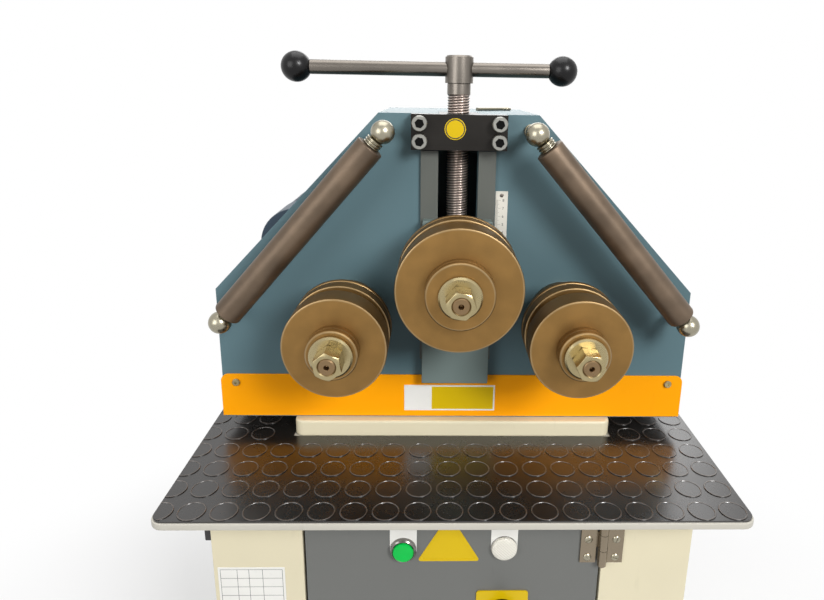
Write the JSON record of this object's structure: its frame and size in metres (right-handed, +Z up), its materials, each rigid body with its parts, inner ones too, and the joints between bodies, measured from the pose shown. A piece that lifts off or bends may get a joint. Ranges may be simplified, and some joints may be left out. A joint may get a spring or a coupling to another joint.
{
  "type": "angle roll bender",
  "caption": "Three-roll section bender on a floor cabinet: gabled housing, driven lower rolls, screw-fed upper roll with tommy bar, slanted guide rollers, guard and footing platform.",
  "frame": {"origin": "on the floor, at the centre of the anchor-bolt rectangle", "axes": "+X to the right of the operator, +Y to the back, +Z up"},
  "size_m": [0.65, 0.593, 1.35],
  "materials": {
    "cabinet_cream": "satin powder coat",
    "housing_blue": "satin paint",
    "guard_orange": "gloss paint",
    "door_grey": "satin paint",
    "motor_blue": "gloss paint",
    "floor_dark": "satin paint",
    "mat_rubber": "coin-stud rubber",
    "machined_steel": "turned",
    "dark_steel": "black oxide",
    "oxide_bronze": "oil-browned, turned",
    "roller_brown": "oil-browned, turned",
    "chrome": "polished",
    "zinc": "yellow zinc plate",
    "knob_black": "polished",
    "plate_white": "printed foil",
    "plate_yellow": "printed foil",
    "button_green": "moulded",
    "lens_white": "ribbed, translucent",
    "plastic_dark": "moulded"
  },
  "bodies": {
    "frame": {"cabinet_shell": "cabinet_cream", "floor_plate": "floor_dark", "platform_plate": "cabinet_cream", "rubber_mat": "mat_rubber", "pedestal_plate": "cabinet_cream", "front_plate": "housing_blue", "back_plate": "housing_blue", "housing_skin": "housing_blue", "front_guard": "guard_orange", "guard_screws": "zinc", "stickers": "plate_white", "slide_strips": "housing_blue", "nut_block": "dark_steel", "nut_block_screws": "dark_steel", "scale_plate": "machined_steel", "shaft_bearings": "dark_steel", "idler_stud": "machined_steel", "gearbox": "motor_blue", "motor": "motor_blue", "fan_cover": "motor_blue", "terminal_box": "plastic_dark", "guide_posts": "chrome", "guide_axles": "machined_steel", "hinge_fixed_leaves": "chrome", "split_pin": "machined_steel", "control_gear": "plastic_dark", "side_socket": "plastic_dark"},
    "ram": {"ram_plate": "housing_blue", "ram_block": "dark_steel", "thrust_cap": "machined_steel"},
    "adjusting_screw": {"spindle": "dark_steel", "screw_head": "machined_steel"},
    "handle_bar": {"tommy_bar": "machined_steel", "bar_knobs": "knob_black"},
    "upper_roll": {"upper_shaft": "machined_steel", "upper_rings": "oxide_bronze", "upper_nut": "zinc"},
    "left_roll": {"left_shaft": "machined_steel", "left_rings": "oxide_bronze", "left_nut": "zinc", "left_gear": "machined_steel"},
    "right_roll": {"right_shaft": "machined_steel", "right_rings": "oxide_bronze", "right_nut": "zinc", "right_gear": "machined_steel"},
    "idler": {"idler_gear": "machined_steel"},
    "drive_pinion": {"motor_pinion": "machined_steel"},
    "left_guide": {"left_guide_roller": "roller_brown"},
    "right_guide": {"right_guide_roller": "roller_brown"},
    "door": {"door_panel": "door_grey", "hinge_door_leaves": "chrome", "door_plates": "plate_yellow", "control_bezels": "machined_steel", "pilot_lens": "lens_white", "switch_plate": "plate_yellow"},
    "push_button": {"button_cap": "button_green"},
    "main_switch": {"switch_knob": "plastic_dark"},
    "latch": {"door_latch": "plastic_dark"}
  },
  "joints": [
    {"name": "ram_slide", "type": "slide", "parent": "frame", "child": "ram", "axis": [0, 0, 1], "range_m": [-0.02, 0.06]},
    {"name": "screw_turn", "type": "hinge", "parent": "ram", "child": "adjusting_screw", "pos_m": [0, -0.062, 1.202], "axis": [0, 0, 1], "range_deg": [-1440, 4320]},
    {"name": "bar_slide", "type": "slide", "parent": "adjusting_screw", "child": "handle_bar", "axis": [1, 0, 0], "range_m": [-0.089, 0.159]},
    {"name": "upper_roll_spin", "type": "hinge", "parent": "ram", "child": "upper_roll", "pos_m": [0, -0.19, 1.103], "axis": [0, 1, 0], "continuous": true},
    {"name": "left_roll_spin", "type": "hinge", "parent": "frame", "child": "left_roll", "pos_m": [-0.1335, -0.19, 1.0375], "axis": [0, 1, 0], "continuous": true},
    {"name": "right_roll_spin", "type": "hinge", "parent": "frame", "child": "right_roll", "pos_m": [0.1335, -0.19, 1.0375], "axis": [0, 1, 0], "continuous": true},
    {"name": "idler_spin", "type": "hinge", "parent": "frame", "child": "idler", "pos_m": [0, 0.04, 1.0375], "axis": [0, 1, 0], "continuous": true},
    {"name": "pinion_spin", "type": "hinge", "parent": "frame", "child": "drive_pinion", "pos_m": [-0.23827, 0.04, 1.07416], "axis": [0, 1, 0], "continuous": true},
    {"name": "left_guide_spin", "type": "hinge", "parent": "frame", "child": "left_guide", "pos_m": [-0.0855, -0.14, 1.262], "axis": [-0.6529, 0, -0.7575], "continuous": true},
    {"name": "right_guide_spin", "type": "hinge", "parent": "frame", "child": "right_guide", "pos_m": [0.0855, -0.14, 1.262], "axis": [0.6529, 0, -0.7575], "continuous": true},
    {"name": "door_swing", "type": "hinge", "parent": "frame", "child": "door", "pos_m": [0.1785, -0.206, 0.4], "axis": [0, 0, 1], "range_deg": [0, 110]},
    {"name": "button_press", "type": "slide", "parent": "door", "child": "push_button", "axis": [0, 1, 0], "range_m": [0, 0.004], "stiffness_N_per_m": 600},
    {"name": "switch_turn", "type": "hinge", "parent": "door", "child": "main_switch", "pos_m": [0.0605, -0.2, 0.681], "axis": [0, 1, 0], "range_deg": [0, 90]},
    {"name": "latch_turn", "type": "hinge", "parent": "door", "child": "latch", "pos_m": [-0.16, -0.2, 0.47], "axis": [0, 1, 0], "range_deg": [0, 90]}
  ],
  "couplings": [
    {"joint": "ram_slide", "follows": "screw_turn", "m_per_rad": 0.00079577},
    {"joint": "right_roll_spin", "follows": "left_roll_spin", "ratio": 1},
    {"joint": "idler_spin", "follows": "left_roll_spin", "ratio": -1.697},
    {"joint": "pinion_spin", "follows": "left_roll_spin", "ratio": -3.1111}
  ]
}
